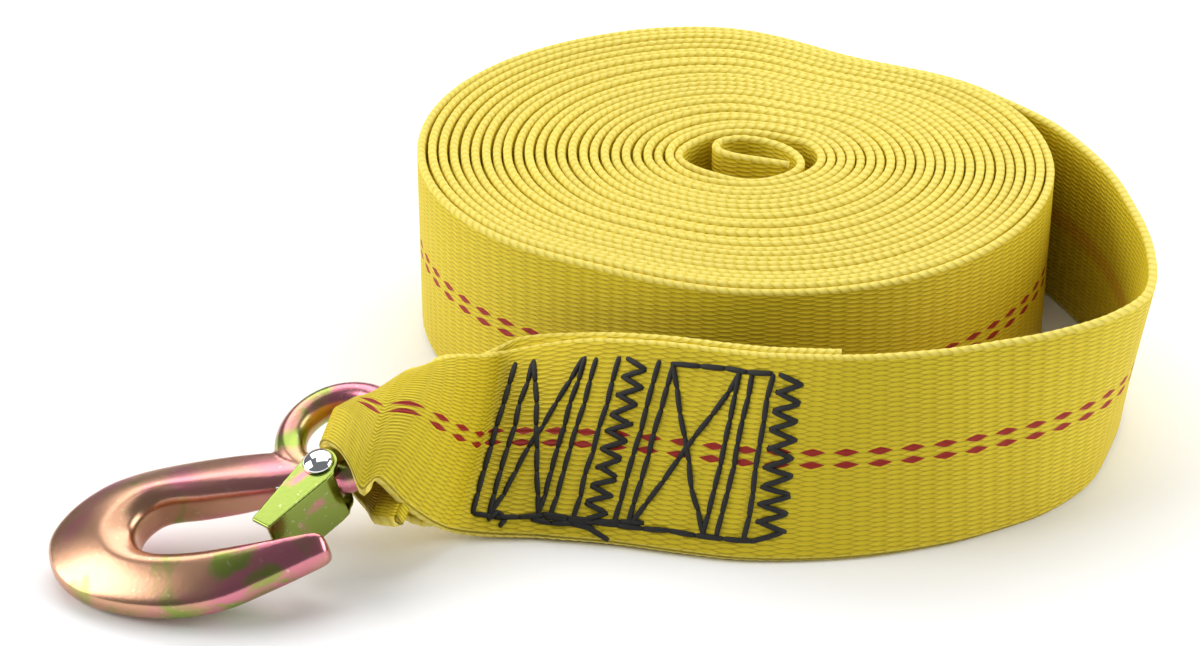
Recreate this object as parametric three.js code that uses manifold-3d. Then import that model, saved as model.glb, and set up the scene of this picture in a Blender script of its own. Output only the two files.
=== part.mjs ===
// Winch strap: a wound length of polyester webbing with a forged latch hook sewn to its end.
// Millimetres and degrees, Z up. The strap stands on its edge on the level z = 0.
import * as THREE from 'three';
import { mergeVertices } from 'three/addons/utils/BufferGeometryUtils.js';
import Module from 'manifold-3d';

const wasm = await Module();
wasm.setup();

// Webbing
const webbingWidth = 50.8;
const webbingThickness = 2.2;
const edgeBevel = 0.7;
const turnGap = 0.1;

// Coil: a spiral round an oval eye, wound looser along some directions than others. The oval's middle
// is shifted from the origin, which is where the coil's outline is centred
const coilTurns = 24;
const eyeHalfLength = 18.1;
const eyeHalfDepth = 14.6;
const eyeShiftX = 4.2;
const eyeShiftY = 1.9;
const releaseAngle = 28;
const slackEvery30Degrees = [1.135, 1.09, 0.961, 1.18, 1.251, 1.28, 1.242, 1.163, 1.045, 1.089, 1.138, 1.144];
const stepsPerTurn = 24;
const stepsPerStation = 3;
const stepsInSeam = 6;
const stepsInTwist = 16;
const stepsAtHook = 4;

// Sewn eye
const layerGap = 0.3;
const tailLength = 128;
const threadWidth = 1.3;
const threadHeight = 0.8;
const threadGap = 0.75;
const seamInset = 1.5;
const stitchLength = 8;
const stitchWander = 0.2;
const zigzagTeeth = 8;
const zigzagWidth = 7;
const seamMargin = 5;

// Hook, laid with its eye held up by the strap
const eyeAngle = -134.8;
const eyeStandoff = 64;
const hookPitch = 12;
const hookRoll = 15;
const eyeHoleRadius = 9;
const eyeBarWidth = 7.8;
const eyeBarHeight = 8.4;
const crestHeight = 6.4;
const rimShare = 0.4;
const bossRadius = 4;
const bossHeight = 3.7;

// Strap where it is gathered round the eye's bar
const wrapBearing = -18;
const wrapClearance = 1;
const wrapWidth = 27;

// Latch, rivet and spring
const rivetAlong = -3.7;
const rivetAcross = -13.9;
const rivetRadius = 2.2;
const rivetHeadRadius = 3.8;
const rivetHeadHeight = 1.9;
const runningGap = 0.3;
const tipWall = -32;
const latchSheet = 1.1;
const latchReach = 21;
const latchEarRadius = 4.6;
const latchEndWidth = 5.6;
const latchInside = 13;
const springWire = 0.7;
const springBodyLeg = 11;
const springLatchLeg = 2;

const barRadius = eyeHoleRadius + 0.5 * eyeBarWidth;
const radians = THREE.MathUtils.degToRad;
const vector = (x, y, z) => new THREE.Vector3(x, y, z);

// Uniform Catmull-Rom blend of one value through four neighbours
function blend(a, b, c, d, f) {
  const slopeIn = 0.5 * (c - a);
  const slopeOut = 0.5 * (d - b);
  const cubic = 2 * (b - c) + slopeIn + slopeOut;
  const square = 3 * (c - b) - 2 * slopeIn - slopeOut;
  return ((cubic * f + square) * f + slopeIn) * f + b;
}

// Coil in plan, round the centre of its eye
function slackAt(angle) {
  const p = (((angle % 360) + 360) % 360) / 30;
  const i = Math.floor(p);
  const pick = (k) => slackEvery30Degrees[(k + 12) % 12];
  return blend(pick(i - 1), pick(i), pick(i + 1), pick(i + 2), p - i);
}

// Distance from the origin to the eye's oval, whose middle is shifted a little
function eyeRadiusAt(angle) {
  const along = Math.cos(radians(angle)) / eyeHalfLength;
  const across = Math.sin(radians(angle)) / eyeHalfDepth;
  const [shiftX, shiftY] = [eyeShiftX / eyeHalfLength, eyeShiftY / eyeHalfDepth];
  const square = along ** 2 + across ** 2;
  const linear = along * shiftX + across * shiftY;
  return (linear + Math.sqrt(linear ** 2 + square * (1 - shiftX ** 2 - shiftY ** 2))) / square;
}

function coilRadius(angle, turn) {
  const pitch = (webbingThickness + turnGap) * slackAt(angle);
  return eyeRadiusAt(angle) + webbingThickness / 2 + turn * pitch;
}

const angleAtTurn = (turn) => releaseAngle + 360 * (coilTurns - turn);

function polar(angle, radius) {
  return [radius * Math.cos(radians(angle)), radius * Math.sin(radians(angle))];
}

// Inner curl of the strap, from its cut end to the first full turn: x and y from the middle of the eye's
// oval, as shares of its half length and half depth
const curl = [
  [0.575, -0.267], [0.11, -0.068], [-0.155, 0.048], [-0.376, 0.212], [-0.464, 0.432],
  [-0.392, 0.664], [-0.199, 0.774], [0, 0.781], [0.287, 0.658], [0.558, 0.39],
  [0.718, 0.062], [0.757, -0.253], [0.663, -0.541], [0.442, -0.788], [0.138, -0.945],
  [-0.16, -0.925], [-0.519, -0.699], [-0.796, -0.445], [-0.967, -0.185], [-1.017, 0.103],
  [-0.906, 0.445], [-0.652, 0.781], [-0.354, 1], [-0.011, 1.048], [0.32, 0.952],
  [0.63, 0.781],
].map(([x, y]) => [x * eyeHalfLength + eyeShiftX, y * eyeHalfDepth + eyeShiftY]);

// Free stretch, from the coil to the stitching: the angle round the coil, how far the strap's middle
// stands off the coil's last turn, and its lean from upright towards +X and towards +Y in degrees
const loose = [
  [13.5, 4.5, 0, 0],
  [-1.8, 11.6, 0, 0],
  [-14.4, 19.4, 1, 0],
  [-25.5, 28.2, 4.5, -1],
  [-35.4, 35.5, 8, -3],
  [-43.1, 38.3, 3, -2.5],
  [-51, 37.9, -1, 1.5],
  [-58, 36.3, -2, 5.5],
  [-65.8, 35.1, -2, 9],
  [-76.7, 33.4, 0, 14],
  [-87.5, 30.5, 8.5, 21.5],
  [-95.4, 27.8, 14, 25],
  [-105, 27.1, 15.5, 28],
  [-112.9, 28.6, 16, 33],
  [-117.5, 29.6, 16, 38],
];

// Twisted stretch up to the hook, from the eye's centre: x, y and z of the strap's middle, its lean
// towards +X and +Y, and the share of its width that is left where it gathers
const twisted = [
  [34.5, 12.1, -8, 14, 53, 1],
  [28.8, 5.8, -3.6, 14, 57, 0.84],
  [22.9, 0.6, 2.4, 15, 58, 0.68],
  [16.4, -3, 8.2, 18, 64, 0.6],
];

function crosswise(leanX, leanY) {
  const x = Math.sin(radians(leanX));
  const y = Math.sin(radians(leanY));
  return vector(x, y, Math.sqrt(1 - x * x - y * y));
}

function upright(x, y) {
  return {
    centre: vector(x, y, webbingWidth / 2),
    across: vector(0, 0, 1),
    half: webbingWidth / 2,
    thick: webbingThickness,
    bunch: 0,
  };
}

function looseStation([angle, standoff, leanX, leanY]) {
  const across = crosswise(leanX, leanY);
  const [x, y] = polar(angle, coilRadius(angle, coilTurns) + standoff);
  const lift = 0.5 * webbingThickness * Math.hypot(across.x, across.y);
  const half = 0.5 * webbingWidth;
  return {
    centre: vector(x, y, half * across.z + lift),
    across,
    half,
    thick: webbingThickness,
    bunch: 0,
  };
}

// Builders of closed solids
function geometryFrom(corners) {
  const geometry = new THREE.BufferGeometry();
  const flat = corners.flatMap((p) => [p.x, p.y, p.z]);
  geometry.setAttribute('position', new THREE.Float32BufferAttribute(flat, 3));
  return geometry;
}

function solid(geometry) {
  const bare = geometry.clone();
  bare.deleteAttribute('normal');
  bare.deleteAttribute('uv');
  const merged = mergeVertices(bare, 1e-4);
  return new wasm.Manifold(new wasm.Mesh({
    numProp: 3,
    vertProperties: new Float32Array(merged.attributes.position.array),
    triVerts: new Uint32Array(merged.index.array),
  }));
}

function geometryOf(body) {
  const mesh = body.getMesh();
  const geometry = new THREE.BufferGeometry();
  const places = new Float32Array(mesh.vertProperties);
  geometry.setAttribute('position', new THREE.BufferAttribute(places, 3));
  geometry.setIndex(new THREE.BufferAttribute(new Uint32Array(mesh.triVerts), 1));
  return geometry;
}

const quad = (a, b, c, d) => [a, b, c, a, c, d];

// Skin between two rings with like numbers of corners
function skin(ring, next) {
  return ring.flatMap((corner, k) => {
    const after = (k + 1) % ring.length;
    return quad(corner, next[k], next[after], ring[after]);
  });
}

function fan(ring) {
  const corners = [];
  for (let k = 1; k < ring.length - 1; k += 1) {
    corners.push(ring[0], ring[k], ring[k + 1]);
  }
  return corners;
}

function loft(rings) {
  const corners = [...fan(rings[0]), ...fan([...rings[rings.length - 1]].reverse())];
  for (let i = 0; i < rings.length - 1; i += 1) {
    corners.push(...skin(rings[i], rings[i + 1]));
  }
  return geometryFrom(corners);
}

// Hook body, in its own plane from the eye's centre: pairs of points on the throat's side and on the
// outer side of the steel, and how thick the steel is there as a share of the crest's height
const steel = [
  [[-7, -14.6], [-9, -3.5], 0.62],
  [[-15, -15.4], [-16, -2], 0.72],
  [[-24, -15.6], [-26, -1.2], 0.92],
  [[-34, -15.2], [-38, -0.9], 1],
  [[-42.6, -14.5], [-50, -1.5], 1],
  [[-46.6, -16.2], [-59.5, -4.2], 1],
  [[-49.2, -19.6], [-67.6, -10.4], 1],
  [[-49.7, -23.2], [-71.7, -18.8], 1],
  [[-48, -26.9], [-69.2, -29.3], 1],
  [[-45, -29.2], [-61.8, -37.4], 1],
  [[-40.4, -30.6], [-51, -43], 1],
  [[-33, -31.6], [-39, -46.2], 1],
  [[-25, -31.9], [-28, -46], 1],
  [[-16.5, -32], [-17.4, -42.7], 0.96],
  [[-9, -32], [-8.4, -39.4], 0.88],
  [[-5, -32.2], [-4, -37.6], 0.78],
  [[-3.4, -33.2], [-2.9, -36.4], 0.55],
];

// Half of the steel's section: share of the way from the throat's side to the outer side, and height
const steelProfile = [
  [0, 0.42], [0.07, 0.76], [0.26, 1], [0.5, 0.9], [0.8, 0.62], [0.97, rimShare], [1, 0.2],
];

function steelRing([throat, rim, share]) {
  const at = (f, height) => {
    const x = THREE.MathUtils.lerp(throat[0], rim[0], f);
    const y = THREE.MathUtils.lerp(throat[1], rim[1], f);
    return vector(x, y, height * share * crestHeight);
  };
  const above = steelProfile.map(([f, height]) => at(f, height));
  const below = [...steelProfile].reverse().map(([f, height]) => at(f, -height));
  return [...above, ...below].reverse();
}

function eyeRing() {
  const outline = [];
  for (let i = 0; i <= 10; i += 1) {
    const angle = radians(36 * i);
    const x = barRadius + 0.5 * eyeBarWidth * Math.cos(angle);
    outline.push(new THREE.Vector2(x, 0.5 * eyeBarHeight * Math.sin(angle)));
  }
  return new THREE.LatheGeometry(outline, 36).rotateX(Math.PI / 2);
}

function pin(radius, from, to) {
  const cylinder = new THREE.CylinderGeometry(radius, radius, to - from, 20).rotateX(Math.PI / 2);
  return cylinder.translate(rivetAlong, rivetAcross, 0.5 * (from + to));
}

function hookBody() {
  const bar = solid(loft(steel.map(steelRing)));
  const boss = solid(pin(bossRadius, -bossHeight, bossHeight));
  const hole = solid(pin(rivetRadius + runningGap, -20, 20));
  return bar.add(solid(eyeRing())).add(boss).subtract(hole);
}

// Hook's own axes in the room: x away from the bowl, y to the spine's side, z out of its flat face
const hookTurn = new THREE.Matrix4().makeRotationY(radians(-hookPitch));
hookTurn.multiply(new THREE.Matrix4().makeRotationX(radians(hookRoll)));
const hookX = vector(0, 0, 0);
const hookY = vector(0, 0, 0);
const hookZ = vector(0, 0, 0);
hookTurn.extractBasis(hookX, hookY, hookZ);

// The hook rests on the floor with its bowl, which sets the height of its eye
const hookSolid = hookBody();
const hookBox = new THREE.Box3().setFromBufferAttribute(
  geometryOf(hookSolid).applyMatrix4(hookTurn).attributes.position,
);
const eyeCentre = vector(...polar(eyeAngle, coilRadius(eyeAngle, coilTurns) + eyeStandoff), -hookBox.min.z);

function twistedStation([x, y, z, leanX, leanY, share]) {
  return {
    centre: eyeCentre.clone().add(vector(x, y, z)),
    across: crosswise(leanX, leanY),
    half: 0.5 * webbingWidth * share,
    thick: webbingThickness / share,
    bunch: 0,
  };
}

// Wrap round the eye's bar: 90 degrees is on top of the bar, 0 is in the hole, -90 is underneath
const wrapOut = hookX.clone().applyAxisAngle(hookZ, radians(wrapBearing));
const wrapAcross = hookY.clone().applyAxisAngle(hookZ, radians(wrapBearing));
const barCentre = eyeCentre.clone().addScaledVector(wrapOut, barRadius);
const wrapThickness = webbingThickness * webbingWidth / wrapWidth;
const wrapRadius = 0.5 * eyeBarHeight + wrapClearance + 0.5 * wrapThickness;
const bunchDepth = eyeHoleRadius + 3;
const bunchFace = eyeHoleRadius - 3 * runningGap;

function wrapStation(angle) {
  const bunch = Math.cos(radians(angle)) ** 0.7;
  const radius = THREE.MathUtils.lerp(wrapRadius, barRadius - bunchFace + 0.5 * bunchDepth, bunch);
  return {
    centre: barCentre.clone()
      .addScaledVector(wrapOut, -radius * Math.cos(radians(angle)))
      .addScaledVector(hookZ, radius * Math.sin(radians(angle))),
    across: wrapAcross.clone(),
    half: 0.5 * wrapWidth,
    thick: wrapThickness,
    bunch,
  };
}

// Smooth run of stations through the given ones
function through(stations, stepsAfter) {
  const last = stations.length - 1;
  const pick = (k) => stations[Math.min(Math.max(k, 0), last)];
  const run = [];
  for (let i = 0; i < last; i += 1) {
    const four = [pick(i - 1), pick(i), pick(i + 1), pick(i + 2)];
    const steps = stepsAfter(i);
    for (let j = 0; j < steps; j += 1) {
      const f = j / steps;
      const mix = (read) => blend(...four.map(read), f);
      run.push({
        centre: vector(mix((s) => s.centre.x), mix((s) => s.centre.y), mix((s) => s.centre.z)),
        across: vector(mix((s) => s.across.x), mix((s) => s.across.y), mix((s) => s.across.z)).normalize(),
        half: mix((s) => s.half),
        thick: mix((s) => s.thick),
        bunch: Math.max(mix((s) => s.bunch), 0),
      });
    }
  }
  run.push(stations[last]);
  return run;
}

// Outward normal at each station, from its neighbours
function orient(stations) {
  stations.forEach((station, i) => {
    const before = stations[Math.max(i - 1, 0)].centre;
    const after = stations[Math.min(i + 1, stations.length - 1)].centre;
    const travel = after.clone().sub(before).normalize();
    station.normal = new THREE.Vector3().crossVectors(station.across, travel).normalize();
  });
  return stations;
}

function coilStation(i) {
  const turn = i / stepsPerTurn;
  const angle = angleAtTurn(turn);
  return upright(...polar(angle, coilRadius(angle, turn)));
}

// The strap in four runs: inner curl, coil, front with its twist, and the tail behind the front
const coilSteps = coilTurns * stepsPerTurn;
const coilRun = [];
for (let i = 0; i <= coilSteps; i += 1) {
  coilRun.push(coilStation(i));
}
const curlKeys = [...curl.map(([x, y]) => upright(x, y)), coilRun[0]];
const curlRun = through(curlKeys, () => stepsPerStation).slice(0, -1);
const frontKeys = [coilRun[coilSteps], ...loose.map(looseStation), ...twisted.map(twistedStation)];
const wrapRun = [];
for (let angle = 90; angle >= -90; angle -= 20) {
  wrapRun.push(wrapStation(angle));
}
function stepsInFront(k) {
  if (k < loose.length - 6) {
    return stepsPerStation;
  }
  if (k < loose.length) {
    return stepsInSeam;
  }
  return k === loose.length ? stepsInTwist : stepsAtHook;
}

const frontRun = through([...frontKeys, wrapRun[0]], stepsInFront).slice(1, -1);
orient(frontRun);

// Tail: leaves the underside of the bar, closes up to the back of the front stretch and lies against it
const layerPitch = webbingThickness + layerGap;
const underPitches = [layerPitch, 4.5, 9];
orient(frontKeys);

function behind(station, pitch) {
  return { ...station, centre: station.centre.clone().addScaledVector(station.normal, -pitch) };
}

function behindOnFloor(station) {
  const lower = behind(station, layerPitch);
  lower.centre.addScaledVector(station.across, layerPitch * station.normal.z / station.across.z);
  return lower;
}

const wrapEnd = wrapRun[wrapRun.length - 1];
const underBar = { ...wrapEnd, centre: wrapEnd.centre.clone().addScaledVector(wrapOut, 6) };
const underKeys = [wrapEnd, underBar];
for (let k = 2; k > 0; k -= 1) {
  underKeys.push(behind(frontKeys[loose.length + 1 + k], underPitches[k]));
}
for (let k = loose.length + 1; k > loose.length - 9; k -= 1) {
  underKeys.push(behindOnFloor(frontKeys[k]));
}
const tailRun = [];
let tailRunLength = 0;
function stepsInTail(k) {
  if (k < 4) {
    return stepsAtHook;
  }
  return k === 4 ? stepsInTwist : stepsInSeam;
}

for (const station of through(underKeys, stepsInTail).slice(1)) {
  if (tailRunLength < tailLength) {
    const previous = tailRun.length ? tailRun[tailRun.length - 1] : wrapEnd;
    tailRunLength += station.centre.distanceTo(previous.centre);
    tailRun.push(station);
  }
}
const strap = orient([...curlRun, ...coilRun, ...frontRun, ...wrapRun, ...tailRun]);

// Section of the strap: eight corners, bevelled at both edges, as places outward and across.
// In the eye's hole it is bunched into the shape that the round hole leaves for it.
const bunched = [
  [-0.16, 0.84], [0.25, 0.94], [0.5, 0.63], [0.5, -0.63], [0.25, -0.94], [-0.16, -0.84],
  [-0.44, -0.37], [-0.44, 0.37],
].map(([out, across]) => [out * bunchDepth, across * bunchFace]);

function section(station) {
  const flat = 0.5 * station.thick;
  const crest = flat - 0.6 * edgeBevel;
  const side = station.half - edgeBevel;
  const corners = [
    [-crest, station.half], [crest, station.half], [flat, side], [flat, -side],
    [crest, -station.half], [-crest, -station.half], [-flat, -side], [-flat, side],
  ];
  return corners.map(([out, across], k) => station.centre.clone()
    .addScaledVector(station.normal, THREE.MathUtils.lerp(out, bunched[k][0], station.bunch))
    .addScaledVector(station.across, THREE.MathUtils.lerp(across, bunched[k][1], station.bunch)));
}

// Strap: neighbouring turns of the coil meet in a groove half way between them, at the bevel's depth,
// so that the coil is one solid whose turns show on both of its ends
function woundStrap() {
  const curlRings = orient(curlRun).map(section);
  const rings = strap.slice(curlRun.length).map(section);
  const groove = (i, k) => rings[i - stepsPerTurn][k === 7 ? 2 : 3].clone().lerp(rings[i][k], 0.5);
  const coil = rings.slice(0, coilSteps + 1).map((ring, i) => {
    const corners = [...ring];
    if (i >= stepsPerTurn) {
      corners[7] = groove(i, 7);
      corners[6] = groove(i, 6);
    }
    if (i <= coilSteps - stepsPerTurn) {
      corners[2] = groove(i + stepsPerTurn, 7);
      corners[3] = groove(i + stepsPerTurn, 6);
    }
    return corners;
  });
  const corners = [];
  for (let i = 0; i < coilSteps; i += 1) {
    const [ring, next] = [coil[i], coil[i + 1]];
    const side = (a, b) => corners.push(...quad(ring[a], next[a], next[b], ring[b]));
    [[0, 1], [1, 2], [3, 4], [4, 5], [5, 6], [7, 0]].forEach(([a, b]) => side(a, b));
    if (i >= coilSteps - stepsPerTurn) {
      side(2, 3);
    }
    if (i < stepsPerTurn) {
      side(6, 7);
    }
  }
  const inner = [...curlRings, coil[0]];
  for (let i = 0; i < inner.length - 1; i += 1) {
    corners.push(...skin(inner[i], inner[i + 1]));
  }
  const outer = [coil[coilSteps], ...rings.slice(coilSteps + 1)];
  for (let i = 0; i < outer.length - 1; i += 1) {
    corners.push(...skin(outer[i], outer[i + 1]));
  }
  corners.push(...fan(inner[0]), ...fan([...outer[outer.length - 1]].reverse()));
  return geometryFrom(corners);
}

// Latch: a folded channel that straddles the boss, its web turned outwards, its end on the tip's wall
const channelHalf = 0.5 * latchInside;
const latchCorner = 0.5 * latchEndWidth;
const latchSpan = Math.hypot(latchReach, latchCorner);
const latchDrop = rivetAcross - tipWall - 1.5 * runningGap;
const latchAngle = 180
  + THREE.MathUtils.radToDeg(Math.asin(latchDrop / latchSpan) - Math.atan2(latchCorner, latchReach));

function latchBody() {
  const webSide = bossRadius + runningGap + latchSheet;
  const webStart = 0.6;
  const bend = 3;
  const ear = new THREE.Shape();
  ear.moveTo(webStart, webSide);
  ear.absarc(0, 0, latchEarRadius, radians(100), radians(262), false);
  ear.lineTo(latchReach, -latchCorner);
  ear.lineTo(latchReach, latchCorner);
  ear.lineTo(bend, webSide);
  ear.closePath();
  const wall = new THREE.Shape();
  wall.moveTo(webStart, webSide);
  wall.lineTo(webStart, webSide - latchSheet);
  wall.lineTo(bend, webSide - latchSheet);
  wall.lineTo(latchReach, latchCorner - latchSheet);
  wall.lineTo(latchReach, latchCorner);
  wall.lineTo(bend, webSide);
  wall.closePath();
  const sheet = (shape, from, to) => solid(
    new THREE.ExtrudeGeometry(shape, { depth: to - from, bevelEnabled: false, curveSegments: 10 })
      .translate(0, 0, from),
  );
  const outer = channelHalf + latchSheet;
  const hole = new THREE.CylinderGeometry(rivetRadius + runningGap, rivetRadius + runningGap, 60, 20);
  return sheet(ear, channelHalf, outer)
    .add(sheet(ear, -outer, -channelHalf))
    .add(sheet(wall, -outer, outer))
    .subtract(solid(hole.rotateX(Math.PI / 2)));
}

// Rivet: a turned pin with a low dome on each end
function rivetBody() {
  const seat = channelHalf + latchSheet + runningGap;
  const outline = [new THREE.Vector2(0, -seat - rivetHeadHeight)];
  const dome = (share) => rivetHeadHeight * Math.sqrt(1 - share * share);
  [0.4, 0.75, 0.95, 1].forEach((share) => {
    outline.push(new THREE.Vector2(share * rivetHeadRadius, -seat - dome(share)));
  });
  outline.push(new THREE.Vector2(rivetRadius, -seat), new THREE.Vector2(rivetRadius, seat));
  [1, 0.95, 0.75, 0.4, 0].forEach((share) => {
    outline.push(new THREE.Vector2(share * rivetHeadRadius, seat + dome(share)));
  });
  return new THREE.LatheGeometry(outline, 24).rotateX(Math.PI / 2);
}

// Round wire along a line of points
function wire(points, radius) {
  const rings = points.map((point, i) => {
    const before = points[Math.max(i - 1, 0)];
    const after = points[Math.min(i + 1, points.length - 1)];
    const travel = after.clone().sub(before).normalize();
    const up = new THREE.Vector3().crossVectors(vector(0, 0, 1), travel).normalize();
    const side = new THREE.Vector3().crossVectors(travel, up);
    return Array.from({ length: 6 }, (_, k) => point.clone()
      .addScaledVector(up, radius * Math.cos(radians(60 * k)))
      .addScaledVector(side, radius * Math.sin(radians(60 * k))));
  });
  return loft(rings.map((ring) => [...ring].reverse()));
}

// Spring: wire wound about the rivet above the boss, one leg on the hook's throat, one on the latch's web
function springWireBody() {
  const radius = rivetRadius + runningGap + 0.5 * springWire + 0.3;
  const low = 0.5 * eyeBarHeight + runningGap + 0.5 * springWire;
  const rise = latchInside / 2 - runningGap - 0.5 * springWire - low;
  const line = [vector(-springBodyLeg, -radius, low), vector(-0.3 * springBodyLeg, -radius, low)];
  const sweep = latchAngle + 90 - 270 + 360;
  const steps = 18;
  for (let i = 0; i <= steps; i += 1) {
    const angle = radians(270 + sweep * (i / steps));
    line.push(vector(radius * Math.cos(angle), radius * Math.sin(angle), low + rise * (i / steps)));
  }
  const heading = radians(latchAngle);
  const last = line[line.length - 1].clone();
  line.push(last.add(vector(springLatchLeg * Math.cos(heading), springLatchLeg * Math.sin(heading), 0)));
  return wire(line, 0.5 * springWire);
}

// Stitching, as places along the seam from its end next to the hook and across the strap's width
const seamHalf = 0.5 * webbingWidth - seamMargin;
const rows = [0, 5, 18.2, 21.7, 27.6, 38.2, 42.1, 60.6, 64, 69.7];
const crosses = [[5, 18.2], [42.1, 60.6]];
const zigzags = [[29.6, 35.6], [71.6, 78.4]];

function seamLines() {
  const lines = rows.map((s) => [[s, -seamHalf], [s, seamHalf]]);
  crosses.forEach(([a, b]) => {
    lines.push([[a, -seamHalf], [b, seamHalf]], [[b, -seamHalf], [a, seamHalf]]);
  });
  zigzags.forEach(([a, b]) => {
    const teeth = [];
    for (let i = 0; i <= 2 * zigzagTeeth; i += 1) {
      teeth.push([i % 2 ? b : a, seamHalf - (i / zigzagTeeth) * seamHalf]);
    }
    lines.push(teeth);
  });
  lines.push([[0, -seamHalf], [zigzags[1][0], -seamHalf]], [[crosses[1][0], seamHalf], [rows[9], seamHalf]]);
  return lines;
}

// Points along a line of thread: long runs wander a little from stitch to stitch
function stitched(line) {
  const points = [line[0]];
  for (let i = 1; i < line.length; i += 1) {
    const [from, to] = [line[i - 1], line[i]];
    const along = Math.abs(to[0] - from[0]);
    const pieces = along < zigzagWidth ? 1 : 2 * Math.ceil(along / stitchLength / 2);
    for (let k = 1; k <= pieces; k += 1) {
      points.push([
        THREE.MathUtils.lerp(from[0], to[0], k / pieces),
        THREE.MathUtils.lerp(from[1], to[1], k / pieces) + stitchWander * (k % 2),
      ]);
    }
  }
  return points;
}

// Flat thread with mitred corners along a line
function thread(line) {
  const points = stitched(line).map(([x, y]) => vector(x, y, 0));
  const rings = points.map((point, i) => {
    const before = i > 0 ? point.clone().sub(points[i - 1]).normalize() : null;
    const after = i < points.length - 1 ? points[i + 1].clone().sub(point).normalize() : null;
    const travel = (before || after).clone().add(after || before).normalize();
    const side = vector(-travel.y, travel.x, 0);
    const reach = 0.5 * threadWidth / Math.abs(travel.dot(before || after));
    const end = point.clone().addScaledVector(travel, before ? 0 : -0.5 * threadWidth);
    end.addScaledVector(travel, after ? 0 : 0.5 * threadWidth);
    const corner = (left, up) => end.clone().addScaledVector(side, left * reach)
      .add(vector(0, 0, 0.5 * up * threadHeight));
    return [corner(1, 1), corner(-1, 1), corner(-1, -1), corner(1, -1)];
  });
  return solid(loft(rings.map((ring) => ring.reverse())));
}

function seamPattern() {
  const threads = seamLines().map(thread);
  return threads.reduce((body, one) => body.add(one));
}

// Place on the strap at a distance along the seam, across its width and out from its middle
function onStrap(run, from, along, across, out) {
  let i = from;
  let rest = along;
  let step = run[i].centre.distanceTo(run[i - 1].centre);
  while (rest > step) {
    rest -= step;
    i -= 1;
    step = run[i].centre.distanceTo(run[i - 1].centre);
  }
  const f = rest / step;
  const across3 = run[i].across.clone().lerp(run[i - 1].across, f).normalize();
  const out3 = run[i].normal.clone().lerp(run[i - 1].normal, f).normalize();
  return run[i].centre.clone().lerp(run[i - 1].centre, f)
    .addScaledVector(across3, across).addScaledVector(out3, out);
}

function seam(run, from, facing) {
  const geometry = geometryOf(seamPattern());
  const places = geometry.attributes.position;
  for (let i = 0; i < places.count; i += 1) {
    const out = seamOut + facing * places.getZ(i);
    const place = onStrap(run, from, seamInset + places.getX(i), places.getY(i), out);
    places.setXYZ(i, place.x, place.y, place.z);
  }
  return geometry;
}

const seamOut = 0.5 * (webbingThickness + threadHeight) + threadGap;
const seamStart = (loose.length - 6) * stepsPerStation + 6 * stepsInSeam + stepsInTwist - 1;
const tailFromEnd = [...tailRun].reverse();
const tailSeamStart = tailFromEnd.length - 4 * stepsAtHook;

// Places of the hook's pieces in the room
const atEye = new THREE.Matrix4().makeBasis(hookX, hookY, hookZ).setPosition(eyeCentre);
const atRivet = atEye.clone().multiply(new THREE.Matrix4().makeTranslation(rivetAlong, rivetAcross, 0));
const atLatch = atRivet.clone().multiply(new THREE.Matrix4().makeRotationZ(radians(latchAngle)));

const group = new THREE.Group();

function addPiece(name, geometry, color, roughness, metalness) {
  const material = new THREE.MeshStandardMaterial({ color, roughness, metalness });
  const mesh = new THREE.Mesh(geometry, material);
  mesh.name = name;
  group.add(mesh);
}

addPiece('webbing_strap', geometryOf(solid(woundStrap())), 0xd9c62e, 0.85, 0);
addPiece('stitching_front', seam(frontRun, seamStart, 1), 0x22221f, 0.8, 0);
addPiece('stitching_back', seam(tailFromEnd, tailSeamStart, -1), 0x22221f, 0.8, 0);
addPiece('hook_body', geometryOf(hookSolid).applyMatrix4(atEye), 0xc9b27c, 0.35, 0.9);
addPiece('latch', geometryOf(latchBody()).applyMatrix4(atLatch), 0xb8b45a, 0.35, 0.9);
addPiece('latch_rivet', geometryOf(solid(rivetBody())).applyMatrix4(atRivet), 0xd8d8dc, 0.15, 1);
addPiece('latch_spring', springWireBody().applyMatrix4(atRivet), 0xc8c8c8, 0.3, 1);

// The origin lies on the floor below the middle of the whole part
const box = new THREE.Box3().setFromObject(group);
const middle = box.getCenter(new THREE.Vector3());
group.children.forEach((mesh) => mesh.geometry.translate(-middle.x, -middle.y, -box.min.z));

export default group;
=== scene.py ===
"""Winch strap: the looks of a wound webbing strap with a sewn eye and a forged latch hook.

Lengths are in metres in the shared frame, unless a table says millimetres.
"""

import math

import bpy
import numpy as np
from mathutils import Matrix, Vector


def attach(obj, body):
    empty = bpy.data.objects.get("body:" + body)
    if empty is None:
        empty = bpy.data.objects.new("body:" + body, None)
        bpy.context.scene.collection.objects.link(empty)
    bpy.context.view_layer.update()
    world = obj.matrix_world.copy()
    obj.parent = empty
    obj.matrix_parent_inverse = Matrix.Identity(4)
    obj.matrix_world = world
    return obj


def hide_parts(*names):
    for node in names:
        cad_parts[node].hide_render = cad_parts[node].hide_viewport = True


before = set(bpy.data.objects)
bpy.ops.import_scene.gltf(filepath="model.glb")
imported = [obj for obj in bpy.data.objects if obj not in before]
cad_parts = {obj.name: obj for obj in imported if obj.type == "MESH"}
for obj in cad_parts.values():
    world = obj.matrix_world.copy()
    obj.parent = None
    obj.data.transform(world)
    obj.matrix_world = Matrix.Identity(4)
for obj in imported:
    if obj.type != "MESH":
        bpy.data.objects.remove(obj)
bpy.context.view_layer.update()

bl_info = {
    "name": "Winch strap",
    "version": (1, 0, 0),
    "blender": (4, 5, 0),
    "location": "3D View > Sidebar > Winch strap",
    "description": "Builds a wound webbing strap with a stitched eye and a forged latch hook",
    "category": "Add Mesh",
}

MM = 0.001

# Centre of the coil's eye on the floor, in the shared frame
COIL_CENTRE = np.array([0.031279, 0.030041, 0.000002])

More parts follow.
